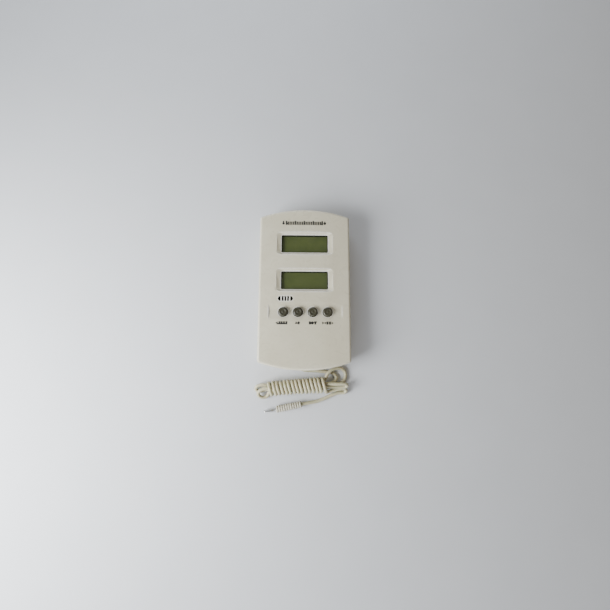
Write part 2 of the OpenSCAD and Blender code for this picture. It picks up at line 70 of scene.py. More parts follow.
def shader(name, slot_colour=(0.8, 0.8, 0.8)):
    """A new material with its Principled shader, ready for wiring."""
    made = bpy.data.materials.new(name)
    made.use_nodes = True
    made.diffuse_color = (*slot_colour, 1)
    return made, made.node_tree.nodes, made.node_tree.links, made.node_tree.nodes["Principled BSDF"]


bpy.ops.object.select_all(action="DESELECT")
bpy.ops.mesh.primitive_plane_add(size=6, location=(0, 0, 0))
bench = fresh("bench")
bench_paint, nodes, links, bsdf = shader("bench_paint", (0.8, 0.8, 0.8))
coords = nodes.new("ShaderNodeTexCoord")
bench_grain = nodes.new("ShaderNodeTexNoise")
bench_grain.inputs["Scale"].default_value = 35
bench_grain.inputs["Detail"].default_value = 4
bench_tint = nodes.new("ShaderNodeValToRGB")
bench_tint.color_ramp.elements[0].color = (0.60, 0.61, 0.63, 1)
bench_tint.color_ramp.elements[1].color = (0.64, 0.65, 0.67, 1)
links.new(coords.outputs["Object"], bench_grain.inputs["Vector"])
links.new(bench_grain.outputs["Fac"], bench_tint.inputs["Fac"])
links.new(bench_tint.outputs["Color"], bsdf.inputs["Base Color"])
bsdf.inputs["Roughness"].default_value = 0.75
bench.data.materials.append(bench_paint)


def soft_light(name, place, aim, size, power, colour):
    """A square studio panel at a place, turned to face a point."""
    lamp = bpy.data.lights.new(name, "AREA")
    lamp.size = size
    lamp.energy = power
    lamp.color = colour
    made = bpy.data.objects.new(name, lamp)
    made.location = place
    made.rotation_euler = (Vector(aim) - Vector(place)).to_track_quat("-Z", "Y").to_euler()
    bpy.context.scene.collection.objects.link(made)
    return made


soft_light("window_panel", (-0.30, -0.13, 0.18), (0, -0.01, 0), 0.24, 3.6, (0.95, 0.98, 1.0))
soft_light("far_panel", (-0.10, 0.55, 0.20), (0, 0.03, 0), 0.40, 2.4, (0.84, 0.91, 1.0))
soft_light("near_panel", (-0.08, -0.60, 0.16), (0, -0.06, 0), 0.40, 2.2, (0.90, 0.94, 1.0))
soft_light("ceiling_panel", (0.62, 0.10, 0.80), (0, 0, 0), 0.8, 1.8, (1.0, 0.84, 0.60))
studio = bpy.data.worlds.new("studio")
studio.use_nodes = True
studio.node_tree.nodes["Background"].inputs["Color"].default_value = (0.93, 0.95, 1.0, 1)
studio.node_tree.nodes["Background"].inputs["Strength"].default_value = 0.11
bpy.context.scene.world = studio

# ---------------------------------------------------------------- sensor lead
# Two thin wires in a soft ivory vinyl jacket. It leaves a notch under the lower edge, runs to the
# right and is folded into five runs that its own last turns bind into a hank.
lead_d = 0.0022
hank_turn = radians(4.1)
hank_l = 0.038
along = Vector((cos(hank_turn), sin(hank_turn), 0))
across = Vector((-sin(hank_turn), cos(hank_turn), 0))
hank_start = Vector((-0.023, -0.0663, 0))


def smooth(piece, limit=32):
    """Shades a piece smooth where its faces meet at less than a limit in degrees."""
    select_only(piece)
    bpy.ops.object.shade_smooth_by_angle(angle=radians(limit))


def hank_at(run, side, height):
    """A point by its distance along the hank, to its side, and above the bench."""
    return hank_start + along * run + across * side + Vector((0, 0, height))


out_route = [
    (-0.0040, -0.0467, 0.0032), (-0.0040, -0.0496, 0.0032), (-0.0032, -0.0518, 0.0030),
    (-0.0014, -0.0534, 0.0026), (0.0015, -0.0542, 0.0020), (0.0052, -0.0544, 0.0015),
    (0.0098, -0.0547, 0.0012), (0.0144, -0.0552, 0.0012), (0.0182, -0.0556, 0.0012),
    (0.0206, -0.0570, 0.0012), (0.0216, -0.0592, 0.0014), (0.0204, -0.0612, 0.0020),
    (0.0176, -0.0626, 0.0028), (0.0146, -0.0634, 0.0033),
]
left_a_route = [
    (-0.0228, -0.0663, 0.0033), (-0.0260, -0.0670, 0.0016), (-0.0292, -0.0679, 0.0013),
    (-0.0314, -0.0670, 0.0016), (-0.0313, -0.0652, 0.0024), (-0.0288, -0.0639, 0.0031),
    (-0.0258, -0.0637, 0.0034), (-0.0228, -0.0642, 0.0033),
]
loop_route = [
    (0.0138, -0.0600, 0.0034), (0.0149, -0.0578, 0.0038), (0.0164, -0.0556, 0.0038),
    (0.0186, -0.0539, 0.0034), (0.0212, -0.0529, 0.0028), (0.0240, -0.0528, 0.0022),
    (0.0264, -0.0539, 0.0016), (0.0277, -0.0562, 0.0012), (0.0276, -0.0588, 0.0012),
    (0.0264, -0.0612, 0.0012), (0.0238, -0.0630, 0.0012), (0.0194, -0.0644, 0.0013),
    (0.0150, -0.0655, 0.0028),
]
left_b_route = [
    (-0.0226, -0.0684, 0.0030), (-0.0238, -0.0706, 0.0018), (-0.0261, -0.0718, 0.0016),
    (-0.0287, -0.0712, 0.0024), (-0.0298, -0.0692, 0.0036), (-0.0285, -0.0672, 0.0046),
    (-0.0257, -0.0659, 0.0052), (-0.0228, -0.0654, 0.0053),
]
fold_route = [
    (0.0148, -0.0626, 0.0053), (0.0188, -0.0627, 0.0059), (0.0228, -0.0627, 0.0061),
    (0.0265, -0.0627, 0.0060), (0.0277, -0.0630, 0.0057), (0.0282, -0.06375, 0.0048),
    (0.0277, -0.0645, 0.0039), (0.0265, -0.0648, 0.0036), (0.0236, -0.0648, 0.0035),
    (0.0196, -0.0648, 0.0039), (0.0150, -0.0646, 0.0050),
]
tail_route = [
    (0.0188, -0.0672, 0.0029), (0.0230, -0.0663, 0.0031), (0.0263, -0.0660, 0.0031),
    (0.02744, -0.06638, 0.0028), (0.0279, -0.0673, 0.00215), (0.02744, -0.0682, 0.0015),
    (0.0263, -0.0686, 0.0012), (0.0240, -0.0687, 0.0012), (0.0212, -0.0692, 0.0012),
    (0.0176, -0.0706, 0.0012), (0.0130, -0.0727, 0.0012), (0.0080, -0.0744, 0.0013),
    (0.0032, -0.0752, 0.00185), (-0.0016, -0.0760, 0.00235),
]


def run_through(side, height, leftwards):
    """Points of one straight run through the bound part of the hank."""
    steps = [0.004 + 0.006 * i for i in range(6)]
    order = reversed(steps) if leftwards else steps
    return [hank_at(s, side + 0.0002 * sin(900 * s), height) for s in order]


turn_count = 15
turn_pitch = 0.00247
turn_lean = 0.00175
turn_steps = 16


def turn_start(k):
    """Where turn k begins along the hank: the first and last stand a little apart."""
    if k == 0:
        return 0.0002
    return 0.0029 + turn_pitch * (k - 1) + 0.00012 * sin(2.3 * k) + (0.0003 if k >= turn_count - 1 else 0)


def turn_point(k, j):
    """Point j of turn k: over the top towards the probe, then back beneath the runs."""
    angle = 2 * pi * j / turn_steps
    start = turn_start(k)
    crest = start + turn_lean
    ease = (1 - cos(angle)) / 2
    run = start + turn_lean * ease if angle <= pi else crest + (turn_start(k + 1) - crest) * (1 - ease)
    share = run / hank_l
    half = 0.00375 + 0.0001 * sin(1.7 * k) + 0.00055 * share * share
    side = half * cos(angle) + 0.0001 + 0.0003 * sin(pi * share)
    return hank_at(run, side, 0.0043 + 0.0032 * sin(angle))


lead_path = [Vector(p) for p in out_route]
lead_path += run_through(0, 0.0033, True) + [Vector(p) for p in left_a_route]
lead_path += run_through(0.0019, 0.0033, False) + [Vector(p) for p in loop_route]
lead_path += run_through(-0.0019, 0.0032, True) + [Vector(p) for p in left_b_route]
lead_path += run_through(0.0010, 0.0052, False) + [Vector(p) for p in fold_route]
lead_path += run_through(-0.0010, 0.0051, True)
lead_path += [hank_at(0.0024, -0.0002, 0.0034), hank_at(0.0014, 0.0010, 0.0017),
              hank_at(0.0008, 0.0026, 0.0016), hank_at(0.00035, 0.0036, 0.0028)]
for k in range(turn_count):
    last = turn_steps // 2 - 1 if k == turn_count - 1 else turn_steps - 1
    lead_path += [turn_point(k, j) for j in range(last + 1)]
lead_path += [hank_at(0.0376, -0.0044, 0.0043), hank_at(0.0390, -0.0043, 0.0032)]
lead_path += [Vector(p) for p in tail_route]

lead_curve = bpy.data.curves.new("sensor_lead", "CURVE")
lead_curve.dimensions = "3D"
lead_curve.resolution_u = 4
lead_curve.bevel_depth = lead_d / 2
lead_curve.bevel_resolution = 5
lead_curve.use_fill_caps = True
lead_spline = lead_curve.splines.new("BEZIER")
lead_spline.bezier_points.add(len(lead_path) - 1)
for knot, place in zip(lead_spline.bezier_points, lead_path):
    knot.co = place
    knot.handle_left_type = knot.handle_right_type = "AUTO"
sensor_lead = bpy.data.objects.new("sensor_lead", lead_curve)
bpy.context.scene.collection.objects.link(sensor_lead)
bpy.context.view_layer.update()
lead_line = [lead_path[0]]
for before, after in zip(lead_spline.bezier_points, lead_spline.bezier_points[1:]):
    lead_line += interpolate_bezier(before.co, before.handle_right, after.handle_left, after.co, 5)[1:]
select_only(sensor_lead)
bpy.ops.object.convert(target="MESH")
sensor_lead = bpy.context.object
sensor_lead.name = sensor_lead.data.name = "sensor_lead"
smooth(sensor_lead, 50)
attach(sensor_lead, "case")
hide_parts("lead_out", "lead_loop_right", "lead_fold_right", "lead_tail",
            "lead_loop_left_a", "lead_loop_left_b", "lead_hank")


def place(tree, kind, **values):
    """Adds one shader node to a node tree and sets its sockets by name."""
    made = tree.nodes.new("ShaderNode" + kind)
    for socket, value in values.items():
        made.inputs[socket.replace("_", " ")].default_value = value
    return made


def maths(tree, operation, first, second=None, clamp=False):
    """A Math node fed by numbers or by other nodes' outputs."""
    made = tree.nodes.new("ShaderNodeMath")
    made.operation = operation
    made.use_clamp = clamp
    for socket, value in zip(made.inputs, (first, second)):
        if isinstance(value, (int, float)):
            socket.default_value = value
        elif value is not None:
            tree.links.new(value, socket)
    return made.outputs[0]


def effect_group(name, inputs, outputs):
    """An empty node group with its named inputs, their usual values, and its outputs."""
    tree = bpy.data.node_groups.new(name, "ShaderNodeTree")
    for label, kind, value in inputs:
        socket = tree.interface.new_socket(label, in_out="INPUT", socket_type="NodeSocket" + kind)
        if value is not None:
            socket.default_value = value
    for label, kind in outputs:
        tree.interface.new_socket(label, in_out="OUTPUT", socket_type="NodeSocket" + kind)
    return tree, tree.nodes.new("NodeGroupInput"), tree.nodes.new("NodeGroupOutput")


# fine moulded texture: a height, slow clouds in the colour, and rare dark flecks
moulded_grain, entry, leave = effect_group(
    "moulded_grain",
    [("Vector", "Vector", None), ("Grain Scale", "Float", 2600.0), ("Cloud Scale", "Float", 70.0)],
    [("Height", "Float"), ("Cloud", "Float"), ("Fleck", "Float")])
fine = place(moulded_grain, "TexNoise", Detail=3.0, Roughness=0.6)
cloud = place(moulded_grain, "TexNoise", Detail=4.0, Roughness=0.55, Distortion=0.3)
fleck = place(moulded_grain, "TexVoronoi", Scale=420.0)
for pattern in (fine, cloud, fleck):
    moulded_grain.links.new(entry.outputs["Vector"], pattern.inputs["Vector"])
moulded_grain.links.new(entry.outputs["Grain Scale"], fine.inputs["Scale"])
moulded_grain.links.new(entry.outputs["Cloud Scale"], cloud.inputs["Scale"])
speck = maths(moulded_grain, "LESS_THAN", fleck.outputs["Distance"], 0.09)
rare = maths(moulded_grain, "GREATER_THAN", cloud.outputs["Fac"], 0.60)
moulded_grain.links.new(fine.outputs["Fac"], leave.inputs["Height"])
moulded_grain.links.new(cloud.outputs["Fac"], leave.inputs["Cloud"])
moulded_grain.links.new(maths(moulded_grain, "MULTIPLY", speck, rare), leave.inputs["Fleck"])

# edges rubbed by handling, and on the ivory case a painted pale highlight along the rounded rim: found where a
# rounded normal leaves the true one, and broken up
edge_wear_and_sheen, entry, leave = effect_group(
    "edge_wear_and_sheen",
    [("Vector", "Vector", None), ("Breakup Scale", "Float", 900.0), ("Edge Size", "Float", 0.0005)],
    [("Wear And Sheen", "Float")])
eased = place(edge_wear_and_sheen, "Bevel")
edge_wear_and_sheen.links.new(entry.outputs["Edge Size"], eased.inputs["Radius"])
true_normal = edge_wear_and_sheen.nodes.new("ShaderNodeNewGeometry")
agreement = edge_wear_and_sheen.nodes.new("ShaderNodeVectorMath")
agreement.operation = "DOT_PRODUCT"
edge_wear_and_sheen.links.new(eased.outputs["Normal"], agreement.inputs[0])
edge_wear_and_sheen.links.new(true_normal.outputs["Normal"], agreement.inputs[1])
patches = place(edge_wear_and_sheen, "TexNoise", Detail=4.0)
edge_wear_and_sheen.links.new(entry.outputs["Vector"], patches.inputs["Vector"])
edge_wear_and_sheen.links.new(entry.outputs["Breakup Scale"], patches.inputs["Scale"])
turned_away = maths(edge_wear_and_sheen, "SUBTRACT", 1.0, agreement.outputs["Value"], clamp=True)
raised = maths(edge_wear_and_sheen, "MULTIPLY", turned_away, 5.0, clamp=True)
broken_up = maths(edge_wear_and_sheen, "ADD", patches.outputs["Fac"], 0.25)
edge_wear_and_sheen.links.new(maths(edge_wear_and_sheen, "MULTIPLY", raised, broken_up, clamp=True), leave.inputs["Wear And Sheen"])

# dust and hand grease: thin on faces that look up, none below
handling, entry, leave = effect_group(
    "handling", [("Vector", "Vector", None), ("Smear Scale", "Float", 160.0)],
    [("Dust", "Float"), ("Smear", "Float")])
facing = handling.nodes.new("ShaderNodeNewGeometry")
upward = handling.nodes.new("ShaderNodeSeparateXYZ")
handling.links.new(facing.outputs["Normal"], upward.inputs["Vector"])
motes = place(handling, "TexNoise", Scale=5200.0, Detail=2.0)
smears = place(handling, "TexNoise", Detail=5.0, Distortion=1.2)
for pattern in (motes, smears):
    handling.links.new(entry.outputs["Vector"], pattern.inputs["Vector"])
handling.links.new(entry.outputs["Smear Scale"], smears.inputs["Scale"])
looking_up = maths(handling, "MAXIMUM", upward.outputs["Z"], 0.0)
settled = maths(handling, "MULTIPLY", looking_up, motes.outputs["Fac"])
handling.links.new(settled, leave.inputs["Dust"])
handling.links.new(smears.outputs["Fac"], leave.inputs["Smear"])


def effect(tree, group, vector, **values):
    """Places an effect group in a material and feeds it a vector and its values."""
    made = tree.nodes.new("ShaderNodeGroup")
    made.node_tree = group
    for socket, value in values.items():
        made.inputs[socket.replace("_", " ")].default_value = value
    tree.links.new(vector, made.inputs["Vector"])
    return made


def tinted(tree, mask, low, high):
    """Goes from one colour to another along a mask."""
    made = tree.nodes.new("ShaderNodeMix")
    made.data_type = "RGBA"
    for socket, value in ((made.inputs["A"], low), (made.inputs["B"], high)):
        if isinstance(value, tuple):
            socket.default_value = (*value, 1)
        else:
            tree.links.new(value, socket)
    tree.links.new(mask, made.inputs["Factor"])
    return made.outputs["Result"]


def ranged(tree, value, start, end, low=0.0, high=1.0):
    """Spreads a part of a pattern's range over another range."""
    made = place(tree, "MapRange", From_Min=start, From_Max=end, To_Min=low, To_Max=high)
    tree.links.new(value, made.inputs["Value"])
    return made.outputs["Result"]


def bumped(tree, height, strength, depth):
    """Presses a pattern's height into the surface of a material."""
    relief = place(tree, "Bump", Strength=strength, Distance=depth)
    tree.links.new(height, relief.inputs["Height"])
    tree.links.new(relief.outputs["Normal"], tree.nodes["Principled BSDF"].inputs["Normal"])


def moulded(name, light, dark, rub_and_sheen_colour, rough=(0.32, 0.46), grain=2600.0, depth=0.00002, strength=0.35,
            edge=0.0005, rub_and_sheen_share=0.55, dust=0.10):
    """A moulded finish: clouded colour, an edge colour for wear and for painted highlights, dust, uneven gloss
    and a fine bump.
    """
    made, nodes, links, bsdf = shader(name, light)
    tree = made.node_tree
    spot = nodes.new("ShaderNodeTexCoord").outputs["Object"]
    surface = effect(tree, moulded_grain, spot, Grain_Scale=grain)
    wear_and_sheen = effect(tree, edge_wear_and_sheen, spot, Edge_Size=edge)
    touch = effect(tree, handling, spot)
    colour = tinted(tree, ranged(tree, surface.outputs["Cloud"], 0.3, 0.7), dark, light)
    # edges take the edge colour: wear, and a painted highlight where that colour is pale
    colour = tinted(tree, maths(tree, "MULTIPLY", wear_and_sheen.outputs["Wear And Sheen"], rub_and_sheen_share), colour, rub_and_sheen_colour)
    colour = tinted(tree, maths(tree, "MULTIPLY", touch.outputs["Dust"], dust), colour, (0.62, 0.60, 0.56))
    colour = tinted(tree, maths(tree, "MULTIPLY", surface.outputs["Fleck"], 0.22), colour, (0.16, 0.14, 0.11))
    links.new(colour, bsdf.inputs["Base Color"])
    links.new(ranged(tree, touch.outputs["Smear"], 0.3, 0.7, *rough), bsdf.inputs["Roughness"])
    bumped(tree, surface.outputs["Height"], strength, depth)
    return made


lead_vinyl = moulded("lead_vinyl", (0.50, 0.465, 0.31), (0.41, 0.375, 0.23), (0.76, 0.75, 0.68),
                     rough=(0.34, 0.5), grain=3400.0)
lead_vinyl.node_tree.nodes["Principled BSDF"].inputs["Subsurface Weight"].default_value = 0.05
lead_vinyl.node_tree.nodes["Principled BSDF"].inputs["Subsurface Scale"].default_value = 0.0008
sensor_lead.data.materials.append(lead_vinyl)


# ---------------------------------------------------------------- front cover
# The upper half of the case, moulded in warm ivory ABS with a fine even texture. It holds the two
# window frames, the trough round the keys, the slotted vent and, inside, the posts for every screw.
case_w, case_l, case_h = 0.060, 0.108, 0.016
end_rise = 0.0052
crown_drop = 0.0008
end_r = (case_w ** 2 / 4 + end_rise ** 2) / (2 * end_rise)
crown_r = (case_w ** 2 / 4 + crown_drop ** 2) / (2 * crown_drop)
wall, skin = 0.0016, 0.0018
split_z = 0.007
upper_y, lower_y = 0.0294, 0.0044
frame_w, frame_l = 0.0382, 0.0154
view_w, view_l = 0.031, 0.012
frame_floor = 0.0142
pane_top = 0.0136
board_top = 0.0075
key_mid = 0.0006
key_xs = (-0.0138, -0.0042, 0.0054, 0.0150)
key_y = -0.0168
key_r = 0.003
vent_x, vent_y = -0.0124, -0.008
case_posts = ((-0.0245, 0.044), (0.0245, 0.044), (-0.014, -0.0482), (0.014, -0.0482))
board_posts = ((-0.0225, 0.017), (0.0225, 0.017), (-0.0218, -0.0238), (0.0218, -0.0238))


def end_y(x, margin):
    """How far the case reaches along its length at x, drawn in by a margin."""
    return sqrt((end_r - margin) ** 2 - x * x) - (end_r - case_l / 2)


def crown_z(x, sunk=0.0):
    """Height of the crowned face at x, or of a face sunk under it."""
    return case_h - crown_r + sqrt((crown_r - sunk) ** 2 - x * x)


def edit(piece, mode="FACE"):
    """Opens a piece in edit mode with nothing selected and hands over its mesh."""
    select_only(piece)
    bpy.ops.object.mode_set(mode="EDIT")
    bpy.ops.mesh.select_mode(type=mode)
    bpy.ops.mesh.select_all(action="DESELECT")
    return bmesh.from_edit_mesh(piece.data)


def close_edit(piece):
    bmesh.update_edit_mesh(piece.data)
    bpy.ops.object.mode_set(mode="OBJECT")


def pick_edges(mesh, test):
    for edge in mesh.edges:
        if test(edge):
            edge.select_set(True)
    mesh.select_flush_mode()


def is_upright(edge):
    """True for an edge that runs straight up at a corner."""
    a, b = edge.verts
    return abs(a.co.x - b.co.x) < 1e-6 and abs(a.co.y - b.co.y) < 1e-6 and edge.calc_face_angle(0) > 0.5


def is_corner(edge):
    """True for an edge that climbs at a corner of the case, upright or leaning."""
    a, b = edge.verts
    return abs(a.co.z - b.co.z) > 0.003 and edge.calc_face_angle(0) > 0.5


def is_sharp(edge, limit=0.5):
    return edge.is_manifold and edge.calc_face_angle(0) > limit


def block(name, low, high, corner=0.0, steps=4):
    """A box between two corners, its upright edges rounded."""
    centre = [(a + b) / 2 for a, b in zip(low, high)]
    bpy.ops.object.select_all(action="DESELECT")
    bpy.ops.mesh.primitive_cube_add(size=1, location=centre, scale=[b - a for a, b in zip(low, high)])
    made = fresh(name)
    if corner:
        mesh = edit(made, "EDGE")
        pick_edges(mesh, is_upright)
        bpy.ops.mesh.bevel(offset=corner, segments=steps, profile=0.5, affect="EDGES")
        close_edit(made)
    return made


def rod(name, centre, radius, height, sides=48, turned=(0, 0, 0)):
    """A round bar standing on a point, or turned about it."""
    bpy.ops.object.select_all(action="DESELECT")
    lift = Matrix.Translation(Vector(centre)) @ (Matrix.Rotation(turned[2], 4, "Z") @ Matrix.Rotation(
        turned[1], 4, "Y") @ Matrix.Rotation(turned[0], 4, "X")) @ Matrix.Translation((0, 0, height / 2))
    bpy.ops.mesh.primitive_cylinder_add(vertices=sides, radius=radius, depth=height,
                                        location=lift.to_translation(), rotation=lift.to_euler())
    return fresh(name)


def arched_block(name, margin, low, top, rows=54, columns=36, lean=0.0):
    """A block with the case's outline: both ends follow the arch, the top follows a height rule."""
    bpy.ops.object.select_all(action="DESELECT")
    half = case_w / 2 - margin
    bpy.ops.mesh.primitive_grid_add(x_subdivisions=columns, y_subdivisions=rows, size=2, location=(0, 0, 0))
    made = fresh(name)
    mesh = edit(made)
    for corner in mesh.verts:
        x = corner.co.x * half
        corner.co = (x, corner.co.y * end_y(x, margin), low)
    bpy.ops.mesh.select_all(action="SELECT")
    bpy.ops.mesh.extrude_region_move(TRANSFORM_OT_translate={"value": (0, 0, 0.004)})
    mesh = bmesh.from_edit_mesh(made.data)
    for corner in mesh.verts:
        if corner.co.z > low + 0.002:
            corner.co.z = top(corner.co.x)
            if corner.co.y > 0:
                corner.co.y *= 1 - lean / end_y(corner.co.x, margin)
    bpy.ops.mesh.select_all(action="SELECT")
    bpy.ops.mesh.normals_make_consistent(inside=False)
    close_edit(made)
    return made


def round_edges(piece, test, offset, segments):
    mesh = edit(piece, "EDGE")
    pick_edges(mesh, test)
    bpy.ops.mesh.bevel(offset=offset, segments=segments, profile=0.5, affect="EDGES", clamp_overlap=True)
    close_edit(piece)


def carve(piece, cutter, operation="DIFFERENCE"):
    """Cuts a shape out of a piece, or joins it on, and takes the cutter away."""
    select_only(piece)
    cut = piece.modifiers.new("cut", "BOOLEAN")
    cut.operation = operation
    cut.solver = "EXACT"
    cut.object = cutter
    bpy.ops.object.modifier_apply(modifier="cut")
    bpy.data.objects.remove(cutter)


frame_slope = (frame_w - view_w) / 2 - 0.0005
sky_z = 0.018


def window_recess(y):
    """The cut of one sunk frame: wide slopes at its sides, steep ones above and below."""
    made = block("recess", (-frame_w / 2, y - frame_l / 2, frame_floor),
                 (frame_w / 2, y + frame_l / 2, sky_z))
    mesh = edit(made)
    overshoot = (sky_z - case_h) / (frame_floor - case_h)
    for corner in mesh.verts:
        reach = 1 if corner.co.z < case_h else overshoot
        corner.co.x += reach * frame_slope * (-1 if corner.co.x > 0 else 1)
        corner.co.y += reach * (0.0005 if corner.co.y < y else -0.0010)
    bmesh.update_edit_mesh(made.data)
    bpy.ops.mesh.select_mode(type="EDGE")
    pick_edges(bmesh.from_edit_mesh(made.data), lambda e: abs(e.verts[0].co.z - e.verts[1].co.z) > 0.001)
    bpy.ops.mesh.bevel(offset=0.0016, segments=6, profile=0.5, affect="EDGES")
    close_edit(made)
    return made


front_cover = arched_block("front_shell", 0, split_z, crown_z, lean=0.0010)
round_edges(front_cover, is_corner, 0.0011, 6)
round_edges(front_cover, lambda e: is_sharp(e) and min(v.co.z for v in e.verts) > 0.013, 0.0019, 8)
carve(front_cover, arched_block("hollow", wall, split_z - 0.001, lambda x: crown_z(x, skin), 20, 18))
for y in (upper_y, lower_y):
    carve(front_cover, block("window_block", (-0.0202, y - 0.01, board_top + 0.0015),
                             (0.0202, y + 0.01, 0.0149)), "UNION")
for x, y in case_posts:
    carve(front_cover, rod("post", (x, y, split_z), 0.0026, 0.008, 32), "UNION")
for x, y in board_posts:
    carve(front_cover, rod("post", (x, y, board_top), 0.002, 0.0074, 32), "UNION")
for y in (upper_y, lower_y):
    carve(front_cover, window_recess(y))
    carve(front_cover, block("view", (-view_w / 2, y - view_l / 2, pane_top - 0.001),
                             (view_w / 2, y + view_l / 2, 0.016), 0.0008))
    carve(front_cover, block("pane_seat", (-0.0177, y - 0.008, pane_top - 0.002),
                             (0.0177, y + 0.008, pane_top)))
    carve(front_cover, block("glass_seat", (-0.0182, y - 0.0087, board_top - 0.001),
                             (0.0182, y + 0.0087, pane_top - 0.001)))
trough_r, trough_w, trough_depth = 0.0165, 0.0476, 0.0011
crosswise = (0, pi / 2, 0)
carve(front_cover, rod("trough", (key_mid - trough_w / 2, key_y + 0.0003, case_h - trough_depth + trough_r),
                       trough_r, trough_w, 160, crosswise))
for x in key_xs:
    carve(front_cover, rod("key_hole", (x, key_y, 0.010), key_r + 0.0003, 0.008))
vent_l, vent_w, bar_pitch, slot_half = 0.00335, 0.0098, 0.00175, 0.00058
for i in (-1, 0, 1):
    carve(front_cover, block("slot", (vent_x + i * bar_pitch - slot_half, vent_y - vent_l / 2, 0.010),
                             (vent_x + i * bar_pitch + slot_half, vent_y + vent_l / 2, sky_z), 0.0002, 2))
for side in (-1, 1):
    rounded = rod("end_slot", (vent_x + side * (vent_w - vent_l) / 2, vent_y, 0.010), vent_l / 2, 0.008, 40)
    face_x = vent_x + side * (vent_w / 2 - bar_pitch)
    carve(rounded, block("keep", (min(face_x, face_x + side * 0.004), vent_y - 0.004, 0.009),
                         (max(face_x, face_x + side * 0.004), vent_y + 0.004, 0.019)), "INTERSECT")
    carve(front_cover, rounded)
for x, y in case_posts:
    carve(front_cover, rod("pilot", (x, y, split_z - 0.001), 0.00102, 0.006, 24))
for x, y in board_posts:
    carve(front_cover, rod("pilot", (x, y, board_top - 0.001), 0.00082, 0.004, 20))
smooth(front_cover)
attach(front_cover, "case")
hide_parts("front_cover")

# the edge colour here is a pale bluish white: a painted highlight along every rounded rim of the case, not wear
case_ivory = moulded("case_ivory", (0.60, 0.56, 0.42), (0.54, 0.495, 0.36), (0.92, 0.93, 0.95),
                      rough=(0.24, 0.34), edge=0.0015, rub_and_sheen_share=0.9)
front_cover.data.materials.append(case_ivory)

# black paint on the edges of the two openings keeps stray light off the displays
window_mask = moulded("window_mask", (0.022, 0.024, 0.018), (0.014, 0.015, 0.011), (0.05, 0.05, 0.04),
                      rough=(0.3, 0.45), dust=0.01)
front_cover.data.materials.append(window_mask)
for face in front_cover.data.polygons:
    spot = face.center
    off_window = min(abs(spot.y - upper_y), abs(spot.y - lower_y))
    inside = off_window < view_l / 2 + 0.0001 and abs(spot.x) < view_w / 2 + 0.0001
    if inside and pane_top - 0.0001 < spot.z < frame_floor - 0.0001:
        face.material_index = 1

# ---------------------------------------------------------------- printed marks
# Black ink pressed onto the face by a pad: a graduated scale between a thermometer and a drop over
# the upper window, and one plain sign below each key.
ink_h = 0.00003


def printed(name, shapes):
    """Bars, rounds and arrowheads of ink, joined and laid on the crowned face."""
    parts = []
    for kind, x, y, across_l, along_l in shapes:
        bpy.ops.object.select_all(action="DESELECT")
        if kind == "bar":
            bpy.ops.mesh.primitive_cube_add(size=1, location=(x, y, 0), scale=(across_l, along_l, 0.001))
        else:
            turn = {"round": 0, "up": 0, "left": pi / 2, "down": pi, "right": -pi / 2}[kind]
            bpy.ops.mesh.primitive_cylinder_add(vertices=24 if kind == "round" else 3, radius=0.5, depth=1,
                                                location=(x, y, 0), rotation=(0, 0, turn),
                                                scale=(across_l, along_l, 0.001))
        parts.append(fresh("ink"))
    for part in parts:
        part.select_set(True)
    bpy.ops.object.join()
    made = fresh(name)
    for corner in made.data.vertices:
        corner.co.z = crown_z(corner.co.x) + (ink_h if corner.co.z > 0 else -0.00006)
    return made


scale_shapes = [("round", -0.0143, 0.0430, 0.0017, 0.0016), ("bar", -0.0143, 0.0439, 0.0009, 0.0018),
                ("round", 0.0134, 0.0432, 0.0018, 0.0018), ("up", 0.0134, 0.0439, 0.0017, 0.0020),
                ("bar", -0.0003, 0.0428, 0.0247, 0.0010)]
for i in range(21):
    thick, tall = (0.00104, 0.0029) if i % 5 == 0 else (0.00088, 0.0024)
    scale_shapes.append(("bar", -0.0123 + 0.0012 * i, 0.0420 + tall / 2, thick, tall))
ink_scale = printed("ink_scale", scale_shapes)
sign_y = -0.0239
ink_signs = printed("ink_signs", [
    ("left", -0.0176, sign_y, 0.0021, 0.0020), ("bar", -0.0160, sign_y, 0.0012, 0.0020),
    ("bar", -0.0146, sign_y, 0.0012, 0.0020), ("bar", -0.0131, sign_y, 0.0013, 0.0020),
    ("bar", -0.0115, sign_y, 0.0012, 0.0020), ("bar", -0.0146, sign_y - 0.0006, 0.0062, 0.0008),
    ("up", -0.0053, sign_y - 0.0001, 0.0021, 0.0022), ("bar", -0.0037, sign_y, 0.0017, 0.0009),
    ("bar", -0.0037, sign_y, 0.0009, 0.0019),
    ("bar", 0.0035, sign_y, 0.0013, 0.0020), ("round", 0.0051, sign_y, 0.0019, 0.0020),
    ("bar", 0.0070, sign_y + 0.0006, 0.0020, 0.0008), ("bar", 0.0070, sign_y, 0.0011, 0.0020),
    ("right", 0.0119, sign_y, 0.0020, 0.0019), ("bar", 0.0134, sign_y, 0.0010, 0.0010),
    ("bar", 0.0148, sign_y, 0.0013, 0.0020), ("bar", 0.0164, sign_y, 0.0013, 0.0020),
    ("right", 0.0179, sign_y, 0.0019, 0.0017),
])
pad_ink = moulded("pad_ink", (0.010, 0.0095, 0.009), (0.006, 0.006, 0.006), (0.05, 0.048, 0.045),
                  rough=(0.38, 0.55), grain=5200.0, strength=0.2, dust=0.01)
for marks in (ink_scale, ink_signs):
    marks.data.materials.append(pad_ink)
    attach(marks, "case")

